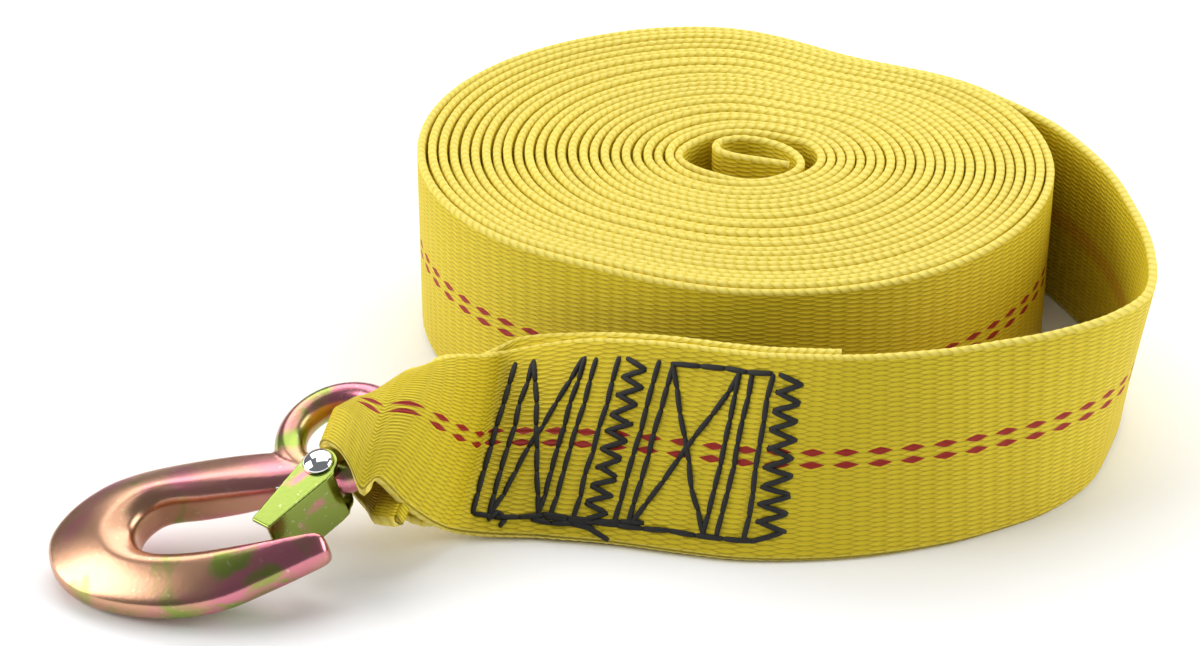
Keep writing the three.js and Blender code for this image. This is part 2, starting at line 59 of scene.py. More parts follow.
# How loosely the strap is wound at every 30 degrees round the coil, as a share of the closest pitch
SLACK = np.array([1.135, 1.09, 0.961, 1.18, 1.251, 1.28, 1.242, 1.163, 1.045, 1.089, 1.138, 1.144])

# Middle of the eye's oval from the coil's centre
EYE_SHIFT = (0.0042, 0.0019)

# Middle of the hook's eye: bearing and distance from the coil, and height over the floor
EYE_BEARING = -134.8
EYE_STANDOFF = 64 * MM
EYE_HEIGHT = 24.975 * MM

# How the hook lies: nose down and rolled towards the viewer, in degrees
HOOK_PITCH = 12
HOOK_ROLL = 15

# Webbing round the bar of the hook's eye: bearing in the hook's plane, width over the bar, steps in degrees
WRAP_BEARING = -18
WRAP_WIDTH = 40 * MM
WRAP_STEP = 10

# Section of the bunched webbing in the hook's eye, outwards and across, and its size
BUNCHED = np.array([(-0.16, 0.84), (0.25, 0.94), (0.5, 0.63), (0.5, -0.63), (0.25, -0.94), (-0.16, -0.84),
                    (-0.44, -0.37), (-0.44, 0.37)])
BUNCH_DEPTH = 12 * MM
BUNCH_WIDTH = 8.1 * MM

# Stations of the coil in one turn, and between two stations of the front
TURN_STEPS = 96
FRONT_STEPS = 24
CURL_STEPS = 12

# Middle of the rivet from the middle of the hook's eye, and the bearing of the closed latch
RIVET = (-3.7 * MM, -13.9 * MM)
LATCH_ANGLE = math.radians(228.8)

# Room between moving parts
RUNNING_GAP = 0.3 * MM

# Place of the camera, its tilt from straight down and its lens in millimetres
CAMERA_PLACE = (-0.00382, -0.67799, 0.4093)
CAMERA_TILT = math.radians(60)
CAMERA_LENS = 90

# Inner curl from the cut end: x and y as shares of the oval's half length and half depth
CURL = [
    (0.575, -0.267), (0.11, -0.068), (-0.155, 0.048), (-0.376, 0.212), (-0.464, 0.432),
    (-0.392, 0.664), (-0.199, 0.774), (0, 0.781), (0.287, 0.658), (0.558, 0.39),
    (0.718, 0.062), (0.757, -0.253), (0.663, -0.541), (0.442, -0.788), (0.138, -0.945),
    (-0.16, -0.925), (-0.519, -0.699), (-0.796, -0.445), (-0.967, -0.185), (-1.017, 0.103),
    (-0.906, 0.445), (-0.652, 0.781), (-0.354, 1), (-0.011, 1.048), (0.32, 0.952),
    (0.63, 0.781),
]

# Free stretch: angle round the coil, stand-off in millimetres, lean towards +X and +Y in degrees
LOOSE = [
    (13.5, 4.5, 0, 0), (-1.8, 11.6, 0, 0), (-14.4, 19.4, 1, 0), (-25.5, 28.2, 4.5, -1),
    (-35.4, 35.5, 8, -3), (-43.1, 38.3, 3, -2.5), (-51, 37.9, -1, 1.5), (-58, 36.3, -2, 5.5),
    (-65.8, 35.1, -2, 9), (-76.7, 33.4, 0, 14), (-87.5, 30.5, 8.5, 21.5), (-95.4, 27.8, 14, 25),
    (-105, 27.1, 15.5, 28), (-112.9, 28.6, 16, 33), (-117.5, 29.6, 16, 38),
]

# Twisted stretch from the hook's eye, in millimetres: middle, lean towards +X and +Y, share of the
# width that is left, and how far the edges curl down in radians
TWISTED = [
    (34.5, 12.1, -8, 14, 53, 1, 0.12), (28.8, 5.8, -3.6, 14, 57, 0.95, 0.25),
    (22.9, 0.6, 2.4, 15, 58, 0.86, 0.4), (16.4, -3, 8.2, 18, 64, 0.76, 0.5),
]

# Steel of the hook in its own plane, in millimetres: a point on the throat's side, one on the outer
# side, and the share of the full height there
STEEL = [
    ((-3, -13.6), (-5, -5.5), 0.5), ((-7, -14.6), (-9, -3.5), 0.62), ((-15, -15.4), (-16, -2), 0.72),
    ((-24, -15.6), (-26, -1.2), 0.92), ((-34, -15.2), (-38, -0.9), 1), ((-42.6, -14.5), (-50, -1.5), 1),
    ((-46.6, -16.2), (-59.5, -4.2), 1), ((-49.2, -19.6), (-67.6, -10.4), 1),
    ((-49.7, -23.2), (-71.7, -18.8), 1), ((-48, -26.9), (-69.2, -29.3), 1),
    ((-45, -29.2), (-61.8, -37.4), 1), ((-40.4, -30.6), (-51, -43), 1), ((-33, -31.6), (-39, -46.2), 1),
    ((-25, -31.9), (-28, -46), 1), ((-16.5, -32), (-17.4, -42.7), 0.96),
    ((-9, -32), (-8.4, -39.4), 0.88), ((-5, -32.2), (-4, -37.6), 0.78), ((-3.4, -33.2), (-2.9, -36.4), 0.55),
    ((-2.9, -34.2), (-2.7, -35.4), 0.25),
]

# Half of the steel's section: share of the way to the outer side, and height
STEEL_PROFILE = [(0, 0), (0, 0.42), (0.07, 0.76), (0.26, 1), (0.5, 0.9), (0.8, 0.62), (0.96, 0.4), (1, 0.12)]

# Seam, in millimetres from its end next to the hook
ROWS = (0, 4.8, 17.5, 20.8, 26.5, 36.7, 40.4, 58.2, 61.4, 66.9)
CROSSES = ((4.8, 17.5), (40.4, 58.2))
ZIGZAGS = ((28.4, 34.2), (68.7, 75.3))

# Thread run back over the seam's lower line, its knot and its cut end: along, and up from that line
LOCKS = (((16, -0.8), (32, -1.2)), ((18, 0.7), (38, 0.4)), ((26, -0.2), (44, 0.9)), ((30, -1), (36.5, -4)),
         ((4.5, -1), (7, 1.2), (9.5, -1), (8.3, -2.4)))


def linear(code):
    """Linear colour of an sRGB hex code."""
    channels = [int(code[i:i + 2], 16) / 255 for i in (1, 3, 5)]
    return [c / 12.92 if c <= 0.04045 else ((c + 0.055) / 1.055) ** 2.4 for c in channels] + [1.0]


# Property groups

class WebbingSettings(bpy.types.PropertyGroup):
    width: bpy.props.FloatProperty(
        name="Width", description="Width of the webbing", default=0.0508, unit="LENGTH")
    thickness: bpy.props.FloatProperty(
        name="Thickness", description="Thickness of one layer", default=0.0022, unit="LENGTH")
    turn_gap: bpy.props.FloatProperty(
        name="Turn gap", description="Closest gap between two turns", default=0.0001, unit="LENGTH")
    turns: bpy.props.IntProperty(name="Turns", description="Turns of the coil", default=24)
    eye_length: bpy.props.FloatProperty(
        name="Eye half length", description="Half length of the coil's eye", default=0.0181, unit="LENGTH")
    eye_depth: bpy.props.FloatProperty(
        name="Eye half depth", description="Half depth of the coil's eye", default=0.0146, unit="LENGTH")
    release: bpy.props.FloatProperty(
        name="Release angle", description="Where the free loop leaves the coil", default=math.radians(28),
        subtype="ANGLE")
    tail: bpy.props.FloatProperty(
        name="Tail", description="Length of the doubled tail behind the front", default=0.128, unit="LENGTH")
    layer_gap: bpy.props.FloatProperty(
        name="Layer gap", description="Gap between the two layers of the seam", default=0.0003,
        unit="LENGTH")
    step: bpy.props.FloatProperty(
        name="Step", description="Length of one facet along the strap", default=0.0011, unit="LENGTH")


class SeamSettings(bpy.types.PropertyGroup):
    thread: bpy.props.FloatProperty(
        name="Thread", description="Width of the needle thread", default=0.0014, unit="LENGTH")
    stitch: bpy.props.FloatProperty(
        name="Stitch", description="Length of one stitch", default=0.0062, unit="LENGTH")
    margin: bpy.props.FloatProperty(
        name="Margin", description="Distance from the webbing's edge", default=0.005, unit="LENGTH")
    inset: bpy.props.FloatProperty(
        name="Inset", description="Start of the seam past the twist", default=0.0015, unit="LENGTH")
    teeth: bpy.props.IntProperty(name="Teeth", description="Teeth of one zigzag", default=9)


class HookSettings(bpy.types.PropertyGroup):
    eye_radius: bpy.props.FloatProperty(
        name="Eye radius", description="Radius of the eye's hole", default=0.009, unit="LENGTH")
    bar_width: bpy.props.FloatProperty(
        name="Bar width", description="Width of the eye's bar", default=0.0078, unit="LENGTH")
    bar_height: bpy.props.FloatProperty(
        name="Bar height", description="Height of the eye's bar", default=0.0084, unit="LENGTH")
    crest: bpy.props.FloatProperty(
        name="Crest", description="Half height of the bowl's steel", default=0.0064, unit="LENGTH")
    boss_radius: bpy.props.FloatProperty(
        name="Boss radius", description="Radius of the boss that holds the rivet", default=0.004,
        unit="LENGTH")
    voxel: bpy.props.FloatProperty(
        name="Facet", description="Facet size of the forging", default=0.00045, unit="LENGTH")


class LatchSettings(bpy.types.PropertyGroup):
    sheet: bpy.props.FloatProperty(
        name="Sheet", description="Thickness of the latch's sheet", default=0.0011, unit="LENGTH")
    reach: bpy.props.FloatProperty(
        name="Reach", description="Length from the rivet to the latch's end", default=0.021, unit="LENGTH")
    inside: bpy.props.FloatProperty(
        name="Inside width", description="Clear width between the ears", default=0.013, unit="LENGTH")
    rivet_radius: bpy.props.FloatProperty(
        name="Rivet radius", description="Radius of the rivet's shank", default=0.0022, unit="LENGTH")
    head_radius: bpy.props.FloatProperty(
        name="Head radius", description="Radius of the rivet's domed head", default=0.0038, unit="LENGTH")
    head_height: bpy.props.FloatProperty(
        name="Head height", description="Height of the rivet's dome", default=0.0019, unit="LENGTH")
    wire: bpy.props.FloatProperty(
        name="Spring wire", description="Thickness of the spring's wire", default=0.0007, unit="LENGTH")


class StageSettings(bpy.types.PropertyGroup):
    floor: bpy.props.FloatProperty(
        name="Floor", description="Side of the floor", default=8.0, unit="LENGTH")
    light: bpy.props.FloatProperty(
        name="Light", description="Power of the main softbox in watts", default=19.0)


# Path of the strap. A station is its middle, the direction across its width, half of its width, its
# thickness, how far it is bunched in the hook's eye, and how far its edges curl down

def catmull(rows, steps):
    """Smooth run through rows, with that many steps after each row."""
    rows = np.asarray(rows, float)
    last = len(rows) - 1
    runs = []
    for i in range(last):
        a, b, c, d = (rows[min(max(k, 0), last)] for k in (i - 1, i, i + 1, i + 2))
        f = np.linspace(0, 1, steps, endpoint=False)[:, None]
        slope_in, slope_out = 0.5 * (c - a), 0.5 * (d - b)
        cubic = 2 * (b - c) + slope_in + slope_out
        square = 3 * (c - b) - 2 * slope_in - slope_out
        runs.append(((cubic * f + square) * f + slope_in) * f + b)
    return np.vstack(runs + [rows[last][None]])


def unit(v):
    return v / np.linalg.norm(v, axis=-1, keepdims=True)


def slack_at(degrees):
    """Slack of the winding at an angle, smooth between the values of the table."""
    place = np.mod(degrees, 360) / 30
    i = np.floor(place).astype(int)
    f = place - i
    a, b, c, d = (SLACK[(i + k) % 12] for k in (-1, 0, 1, 2))
    slope_in, slope_out = 0.5 * (c - a), 0.5 * (d - b)
    return ((2 * (b - c) + slope_in + slope_out) * f + 3 * (c - b) - 2 * slope_in - slope_out) * f * f \
        + slope_in * f + b


def coil_radius(w, degrees, turn):
    """Middle of the webbing from the coil's centre, after that many turns round the shifted oval."""
    along, across = np.cos(np.radians(degrees)) / w.eye_length, np.sin(np.radians(degrees)) / w.eye_depth
    shift_x, shift_y = EYE_SHIFT[0] / w.eye_length, EYE_SHIFT[1] / w.eye_depth
    square = along ** 2 + across ** 2
    linear_part = along * shift_x + across * shift_y
    eye = (linear_part + np.sqrt(linear_part ** 2 + square * (1 - shift_x ** 2 - shift_y ** 2))) / square
    return eye + w.thickness / 2 + turn * (w.thickness + w.turn_gap) * slack_at(degrees)


def crosswise(lean_x, lean_y):
    """Direction across the webbing, leaning out of the upright by two angles."""
    x, y = math.sin(math.radians(lean_x)), math.sin(math.radians(lean_y))
    return np.array([x, y, math.sqrt(1 - x * x - y * y)])


def station(centre, across, half, thick, bunch=0.0, curl=0.0):
    return np.array([*centre, *across, half, thick, bunch, curl])


def hook_axes():
    """Hook's own x, y and z in the room."""
    pitch = Matrix.Rotation(math.radians(-HOOK_PITCH), 3, "Y")
    turn = pitch @ Matrix.Rotation(math.radians(HOOK_ROLL), 3, "X")
    return [np.array(turn.col[i]) for i in range(3)]


def eye_centre(w):
    """Centre of the hook's eye, from the centre of the coil's eye."""
    angle = math.radians(EYE_BEARING)
    radius = coil_radius(w, EYE_BEARING, w.turns) + EYE_STANDOFF
    return np.array([radius * math.cos(angle), radius * math.sin(angle), EYE_HEIGHT])


def travel_of(rows):
    return unit(np.gradient(rows[:, :3], axis=0))


def normals_of(rows):
    return unit(np.cross(unit(rows[:, 3:6]), travel_of(rows)))


def coil_rows(w):
    """The wound turns, each a little uneven, with the last ones pulled up from the floor."""
    turn = np.arange(w.turns * TURN_STEPS + 1) / TURN_STEPS
    degrees = math.degrees(w.release) + 360 * (w.turns - turn)
    wobble = 0.09 * MM * np.sin(np.radians(degrees) * 5 + turn * 1.7) * np.sin(turn * 2.3 + 1)
    radius = coil_radius(w, degrees, turn) + wobble
    angle = np.radians(degrees)
    lift = 0.7 * MM * np.clip((turn - w.turns + 3.6) / 0.5, 0, 1) + 0.25 * MM * (1 + np.sin(turn * 2.9))
    lift *= np.clip((w.turns - turn) / 0.3, 0, 1)
    rows = np.zeros((len(turn), 10))
    rows[:, 0] = radius * np.cos(angle)
    rows[:, 1] = radius * np.sin(angle)
    rows[:, 2] = w.width / 2 + lift
    rows[:, 5] = 1
    rows[:, 6] = w.width / 2
    rows[:, 7] = w.thickness
    return rows


def wrap_rows(w, h, centre):
    """The stretch round the bar of the hook's eye, from the top of the bar through the hole."""
    x, y, z = hook_axes()
    turn = Matrix.Rotation(math.radians(WRAP_BEARING), 3, Vector(z))
    out, across = np.array(turn @ Vector(x)), np.array(turn @ Vector(y))
    bar = h.eye_radius + h.bar_width / 2
    bar_centre = centre + out * bar
    thick = w.thickness * 1.25
    over = h.bar_height / 2 + 1 * MM + thick / 2
    depth = h.eye_radius + 3 * MM
    hole = bar - (h.eye_radius - 0.9 * MM) + depth / 2
    rows = []
    for degrees in np.arange(90, -91, -WRAP_STEP):
        angle = math.radians(degrees)
        bunch = max(math.cos(angle), 0) ** 1.5
        radius = over + (hole - over) * bunch
        place = bar_centre - out * radius * math.cos(angle) + z * radius * math.sin(angle)
        curl = 0.6 * max(math.sin(angle), 0)
        rows.append(station(place, across, WRAP_WIDTH / 2, thick, bunch, curl))
    return np.array(rows), out


def behind(rows, normals, pitch, keep_height):
    """Stations one pitch behind others, at the same height over the floor if asked."""
    moved = rows.copy()
    moved[:, :3] -= normals * pitch
    if keep_height:
        moved[:, :3] += rows[:, 3:6] * (pitch * normals[:, 2] / rows[:, 5])[:, None]
    return moved


def strap_path(w, h):
    """Stations of the whole strap from its inner cut end to the end of its tail, with their lengths along
    it.
    """
    coil = coil_rows(w)
    upright = [0, 0, 1, w.width / 2, w.thickness, 0, 0]
    curl = [[x * w.eye_length + EYE_SHIFT[0], y * w.eye_depth + EYE_SHIFT[1], w.width / 2] + upright
            for x, y in CURL]
    curl_run = catmull(curl + [coil[0]], CURL_STEPS)[:-1]
    loose = []
    for degrees, standoff, lean_x, lean_y in LOOSE:
        across = crosswise(lean_x, lean_y)
        radius = coil_radius(w, degrees, w.turns) + standoff * MM
        lift = 0.5 * w.thickness * math.hypot(across[0], across[1])
        angle = math.radians(degrees)
        place = (radius * math.cos(angle), radius * math.sin(angle), 0.5 * w.width * across[2] + lift)
        loose.append(station(place, across, w.width / 2, w.thickness))
    centre = eye_centre(w)
    twisted = []
    for x, y, z, lean_x, lean_y, share, curled in TWISTED:
        place = centre + np.array([x, y, z]) * MM
        thick = w.thickness * (1 + 0.35 * (1 / share - 1))
        twisted.append(station(place, crosswise(lean_x, lean_y), 0.5 * w.width * share, thick, 0, curled))
    wrap, out = wrap_rows(w, h, centre)
    keys = np.array([coil[-1]] + loose + twisted)
    front_run = catmull(np.vstack([keys, wrap[:1]]), FRONT_STEPS)[1:-1]
    key_normals = normals_of(keys)
    pitch = w.thickness + w.layer_gap
    n = len(LOOSE)
    under = [wrap[-1], wrap[-1].copy()]
    under[1][:3] += out * 6 * MM
    for k, gap in ((2, 9 * MM), (1, 4.5 * MM)):
        under.append(behind(keys[n + 1 + k][None], key_normals[n + 1 + k][None], gap, False)[0])
    for row in under:
        row[9] = 0
    flat = behind(keys, key_normals, pitch, True)
    under.extend(flat[n + 1:n - 9:-1])
    tail = catmull(under, FRONT_STEPS)[1:]
    reach = np.cumsum(np.linalg.norm(np.diff(np.vstack([wrap[-1:], tail])[:, :3], axis=0), axis=1))
    tail = tail[reach < w.tail]
    rows = np.vstack([curl_run, coil, front_run, wrap, tail])
    along = np.concatenate([[0], np.cumsum(np.linalg.norm(np.diff(rows[:, :3], axis=0), axis=1))])
    front = len(curl_run) + len(coil) - 1
    marks = {
        "front": along[front],
        "seam": along[front + (n + 1) * FRONT_STEPS],
        "tail_seam": along[len(rows) - len(tail) + 4 * FRONT_STEPS],
        "length": along[-1],
    }
    return rows, along, marks


def resample(rows, along, places):
    """Stations at given lengths along the strap."""
    fresh = np.column_stack([np.interp(places, along, rows[:, k]) for k in range(rows.shape[1])])
    fresh[:, 3:6] = unit(fresh[:, 3:6])
    return fresh


def profile(w, columns):
    """Section of the webbing: side (1 outer, -1 inner), share across, and place round the section."""
    edge = 5
    points = []
    half = w.width / 2
    bow = 0.0031
    for share in np.linspace(-1, 1, columns):
        points.append((1.0, share, share * half))
    for k in range(1, edge):
        f = k / edge
        points.append((math.cos(math.pi * f), 1 + 1j * math.sin(math.pi * f), half + f * bow))
    for share in np.linspace(1, -1, columns):
        points.append((-1.0, share, half + bow + (1 - share) * half))
    for k in range(1, edge):
        f = k / edge
        points.append((-math.cos(math.pi * f), -1 - 1j * math.sin(math.pi * f), 3 * half + bow + f * bow))
    side = np.array([p[0] for p in points])
    share = np.array([complex(p[1]).real for p in points])
    bulge = np.array([complex(p[1]).imag for p in points])
    place = np.array([p[2] for p in points])
    return side, share, bulge, place, 4 * half + 2 * bow


def curled(half, curl, share):
    """Place across the strap and bow out of its plane, at a share of the half width, of a curled section."""
    curl = np.maximum(curl, 1e-4)
    arc = half / np.sin(curl)
    return arc * np.sin(curl * share), arc * (np.cos(curl * share) - 0.5 * (1 + np.cos(curl)))


def rings(w, rows, columns, along, pleats=False):
    """Rings of points for the stations."""
    side, share, bulge, place, around = profile(w, columns)
    normals = normals_of(rows)
    across = rows[:, 3:6]
    half, thick = rows[:, 6:7], rows[:, 7:8]
    radius = 0.36 * thick
    rope = 0.10 * MM * np.sin(along[:, None] / (2.7 * MM) * 2 * math.pi)
    width = (half - radius) * share + (radius + rope) * bulge
    out = 0.5 * thick * side
    sideways, bow = curled(half, rows[:, 9:10], share)
    spread = sideways - half * share
    if pleats:
        tight = np.clip(1 - half / (w.width / 2), 0, 1)
        bow = bow + 0.7 * MM * tight * np.sin(share * 9 + 0.8) * (1 - 0.5 * np.abs(share))
    width, out = width + spread, out + bow
    bunch = rows[:, 8:9]
    if bunch.max() > 0:
        corner = np.linspace(0, 8, len(side), endpoint=False)
        order = np.array([3, 2, 1, 0, 7, 6, 5, 4])
        loop = np.vstack([BUNCHED[order], BUNCHED[order[0]]])
        shape_out = np.interp(corner, np.arange(9), loop[:, 0]) * BUNCH_DEPTH
        shape_across = np.interp(corner, np.arange(9), loop[:, 1]) * BUNCH_WIDTH
        out = out * (1 - bunch) + shape_out * bunch
        width = width * (1 - bunch) + shape_across * bunch
    points = rows[:, None, :3] + across[:, None, :] * width[:, :, None]
    return points + normals[:, None, :] * out[:, :, None], place, around


def new_object(name, verts, faces, uvs=None, smooth=True):
    mesh = bpy.data.meshes.new(name)
    mesh.from_pydata([tuple(v) for v in verts], [], [tuple(f) for f in faces])
    mesh.polygons.foreach_set("use_smooth", [smooth] * len(mesh.polygons))
    if uvs is not None:
        layer = mesh.uv_layers.new(name="cloth")
        layer.data.foreach_set("uv", np.asarray(uvs, np.float32).ravel())
    mesh.update()
    obj = bpy.data.objects.new(name, mesh)
    bpy.context.scene.collection.objects.link(obj)
    return obj


def sleeve(points, along, place, around, first, caps=(True, True)):
    """Faces and their cloth coordinates between rings."""
    count, sides = points.shape[:2]
    i = np.arange(count - 1)[:, None]
    k = np.arange(sides)[None, :]
    after = (k + 1) % sides
    faces = np.stack([i * sides + k, i * sides + after, (i + 1) * sides + after, (i + 1) * sides + k], -1)
    faces = faces.reshape(-1, 4)[:, ::-1] + first
    low, high = place[k], np.where(k == sides - 1, around, np.roll(place, -1)[k])
    u0, u1 = along[i], along[i + 1]
    ones = np.ones((count - 1, sides))
    uv = np.stack([
        np.stack([u1 * ones, low * ones], -1), np.stack([u1 * ones, high * ones], -1),
        np.stack([u0 * ones, high * ones], -1), np.stack([u0 * ones, low * ones], -1)], 2)
    uv = uv.reshape(-1, 2)
    face_list = faces.tolist()
    uv_list = uv.tolist()
    if caps[0]:
        face_list.append(list(range(first, first + sides)))
        uv_list.extend([along[0], p] for p in place)
    if caps[1]:
        face_list.append(list(range(first + (count - 1) * sides, first + count * sides))[::-1])
        uv_list.extend([along[-1], p] for p in place[::-1])
    return face_list, uv_list


# Materials

def add(tree, kind, inputs=None, **settings):
    """A node with its settings, and its inputs as links or values. Gives its first output."""
    fresh = tree.nodes.new(kind)
    for key, value in settings.items():
        setattr(fresh, key, value)
    for key, value in (inputs or {}).items():
        if isinstance(value, bpy.types.NodeSocket):
            tree.links.new(value, fresh.inputs[key])
        else:
            fresh.inputs[key].default_value = value
    return fresh.outputs[0] if fresh.outputs else None


def calc(tree, operation, *values):
    return add(tree, "ShaderNodeMath", dict(enumerate(values)), operation=operation)


def mix(tree, share, a, b):
    fresh = tree.nodes.new("ShaderNodeMix")
    fresh.data_type = "RGBA"
    for socket, value in ((fresh.inputs[0], share), (fresh.inputs[6], a), (fresh.inputs[7], b)):
        if isinstance(value, bpy.types.NodeSocket):
            tree.links.new(value, socket)
        else:
            socket.default_value = value
    return fresh.outputs[2]


def blank(name):
    material = bpy.data.materials.new(name)
    material.use_nodes = True
    material.node_tree.nodes.clear()
    return material, material.node_tree


def finish_material(tree, inputs):
    shader = add(tree, "ShaderNodeBsdfPrincipled", inputs)
    add(tree, "ShaderNodeOutputMaterial", {"Surface": shader})


def smoothstep(tree, value, low, high):
    return add(tree, "ShaderNodeMapRange", {0: value, 1: low, 2: high, 3: 0.0, 4: 1.0},
               interpolation_type="SMOOTHSTEP")


def lens(tree, x, y, half_length, half_width, power=1.5):
    """Height of a float of yarn with pointed ends, from 1 in its middle to 0 or less outside."""
    along = calc(tree, "POWER", calc(tree, "DIVIDE", calc(tree, "ABSOLUTE", x), half_length), power)
    across = calc(tree, "POWER", calc(tree, "DIVIDE", calc(tree, "ABSOLUTE", y), half_width), power)
    return calc(tree, "SUBTRACT", calc(tree, "SUBTRACT", 1.0, along), across)


def centred(tree, value, period, shift=0.0):
    """Distance to the nearest multiple of period, from -period/2 to period/2."""
    moved = calc(tree, "ADD", value, shift + period / 2)
    return calc(tree, "SUBTRACT", calc(tree, "FLOORED_MODULO", moved, period), period / 2)


def webbing_material():
    """Dyed polyester webbing: long warp floats, two tracer yarns on the outer face, looped selvedges."""
    material, tree = blank("woven polyester, yellow")
    uv = add(tree, "ShaderNodeUVMap", uv_map="cloth")
    parts = tree.nodes.new("ShaderNodeSeparateXYZ")
    tree.links.new(uv, parts.inputs[0])
    u = calc(tree, "MULTIPLY", parts.outputs[0], 1000.0)
    v = calc(tree, "MULTIPLY", parts.outputs[1], 1000.0)
    wander = add(tree, "ShaderNodeTexNoise", {"Vector": uv, "Scale": 60.0, "Detail": 2.0})
    wander = calc(tree, "SUBTRACT", wander, 0.5)
    u = calc(tree, "ADD", u, calc(tree, "MULTIPLY", wander, 0.8))
    column, row = 4.0, 1.27
    even = lens(tree, centred(tree, u, 2 * column), centred(tree, v, row), 3.1, 0.72)
    odd = lens(tree, centred(tree, u, 2 * column, column), centred(tree, v, row, row / 2), 3.1, 0.72)
    weave = calc(tree, "MAXIMUM", calc(tree, "MAXIMUM", even, odd), 0.0)
    to_selvedge = calc(tree, "PINGPONG", calc(tree, "SUBTRACT", v, 26.95), 26.95)
    on_edge = calc(tree, "SUBTRACT", 1.0, smoothstep(tree, to_selvedge, 1.5, 2.2))
    slant = calc(tree, "ADD", calc(tree, "DIVIDE", u, 2.7), calc(tree, "MULTIPLY", to_selvedge, 0.22))
    loops = calc(tree, "ABSOLUTE", calc(tree, "SINE", calc(tree, "MULTIPLY", slant, math.pi)))
    ridge = smoothstep(tree, to_selvedge, 2.1, 0.4)
    loops = calc(tree, "MULTIPLY", calc(tree, "ADD", 0.35, calc(tree, "MULTIPLY", loops, 0.65)),
                 calc(tree, "ADD", 0.6, calc(tree, "MULTIPLY", ridge, 0.4)))
    face_height = calc(tree, "MULTIPLY", weave, calc(tree, "SUBTRACT", 1.0, on_edge))
    height = calc(tree, "ADD", face_height, calc(tree, "MULTIPLY", loops, on_edge))
    # Tracer yarns: red floats 8 mm apart in two rows, on the outer face alone
    outer = calc(tree, "LESS_THAN", calc(tree, "ABSOLUTE", v), 26.0)
    low = calc(tree, "SUBTRACT", calc(tree, "ABSOLUTE", v), 1.6)
    dash = lens(tree, centred(tree, u, 2 * column), low, 3.2, 1.05, 1.15)
    red = calc(tree, "MULTIPLY", smoothstep(tree, dash, 0.0, 0.12), outer)
    # The tracers show through on the inner face as a soft warm band
    inner = calc(tree, "ABSOLUTE", calc(tree, "SUBTRACT", v, 53.9))
    warm = calc(tree, "MULTIPLY", calc(tree, "SUBTRACT", 1.0, smoothstep(tree, inner, 1.0, 4.6)), 0.34)
    patches = add(tree, "ShaderNodeTexNoise", {"Vector": uv, "Scale": 24.0, "Detail": 1.0})
    body = mix(tree, patches, linear("#D6BB14"), linear("#E6D023"))
    # Painted shade: the colour darkens towards #B09812 in the low gaps between the floats and between the
    # selvedge loops
    body = mix(tree, smoothstep(tree, height, 0.0, 0.55), linear("#B09812"), body)
    # Painted highlight: pale yellow #F3E58A painted on the looped ridges of the selvedges, brightest at the
    # outer edge
    pale = calc(tree, "MULTIPLY", on_edge, calc(tree, "MULTIPLY", loops, 0.55))
    body = mix(tree, pale, body, linear("#F3E58A"))
    body = mix(tree, warm, body, linear("#C2571B"))
    body = mix(tree, red, body, linear("#9E2213"))
    bump = add(tree, "ShaderNodeBump", {"Height": height, "Distance": 0.00042, "Strength": 0.9})
    finish_material(tree, {
        "Base Color": body, "Roughness": 0.62, "Normal": bump, "Specular IOR Level": 0.35})
    return material


def thread_material():
    """Bonded black polyester thread with a soft shine and a slight twist."""
    material, tree = blank("bonded thread, black")
    noise = add(tree, "ShaderNodeTexNoise", {"Scale": 900.0, "Detail": 2.0})
    colour = mix(tree, noise, linear("#070707"), linear("#1C1B18"))
    bump = add(tree, "ShaderNodeBump", {"Height": noise, "Distance": 0.0001, "Strength": 0.6})
    finish_material(tree, {"Base Color": colour, "Roughness": 0.6, "Normal": bump})
    return material


def zinc_material(name, roughness, green):
    """Steel with a yellow chromate passivation: gold that shifts to pink and green in soft patches."""
    material, tree = blank(name)
    coordinate = tree.nodes.new("ShaderNodeTexCoord").outputs["Object"]
    broad = add(tree, "ShaderNodeTexNoise", {
        "Vector": coordinate, "Scale": 34.0, "Detail": 2.0, "Distortion": 0.6})
    second = add(tree, "ShaderNodeTexNoise", {
        "Vector": coordinate, "Scale": 58.0, "Detail": 3.0, "Distortion": 1.0})
    fine = add(tree, "ShaderNodeTexNoise", {"Vector": coordinate, "Scale": 900.0, "Detail": 4.0})
    pink = smoothstep(tree, broad, 0.38, 0.56)
    leaf = smoothstep(tree, second, 0.5 - green, 0.64 - green)
    colour = mix(tree, pink, linear("#C99A7C"), linear("#D0808E"))
    colour = mix(tree, leaf, colour, linear("#8FA04C"))
    worn = smoothstep(tree, fine, 0.62, 0.75)
    colour = mix(tree, calc(tree, "MULTIPLY", worn, 0.35), colour, linear("#E9DFC4"))
    bump = add(tree, "ShaderNodeBump", {"Height": fine, "Distance": 0.00005, "Strength": 0.35})
    finish_material(tree, {
        "Base Color": colour, "Metallic": 1.0, "Roughness": roughness, "Normal": bump})
    return material


def plain_metal(name, code, roughness):
    """Bright bare metal, even in tone, with the faintest grain."""
    material, tree = blank(name)
    grain = add(tree, "ShaderNodeTexNoise", {"Scale": 700.0, "Detail": 2.0})
    colour = mix(tree, grain, linear(code), linear("#F4F4F6"))
    finish_material(tree, {"Base Color": colour, "Metallic": 1.0, "Roughness": roughness})
    return material


# Shapes of the pieces

def tube(points, ups, radius, flat=1.0, sides=8):
    """Rings round a line, flattened along ups."""
    points = np.asarray(points)
    travel = unit(np.gradient(points, axis=0))
    ups = unit(ups - travel * np.sum(ups * travel, axis=1, keepdims=True))
    side = np.cross(travel, ups)
    angle = np.arange(sides) / sides * 2 * math.pi
    radius = np.broadcast_to(np.asarray(radius, float), (len(points),))[:, None, None]
    return points[:, None] + radius * (side[:, None] * np.cos(angle)[None, :, None]
                                       + flat * ups[:, None] * np.sin(angle)[None, :, None])


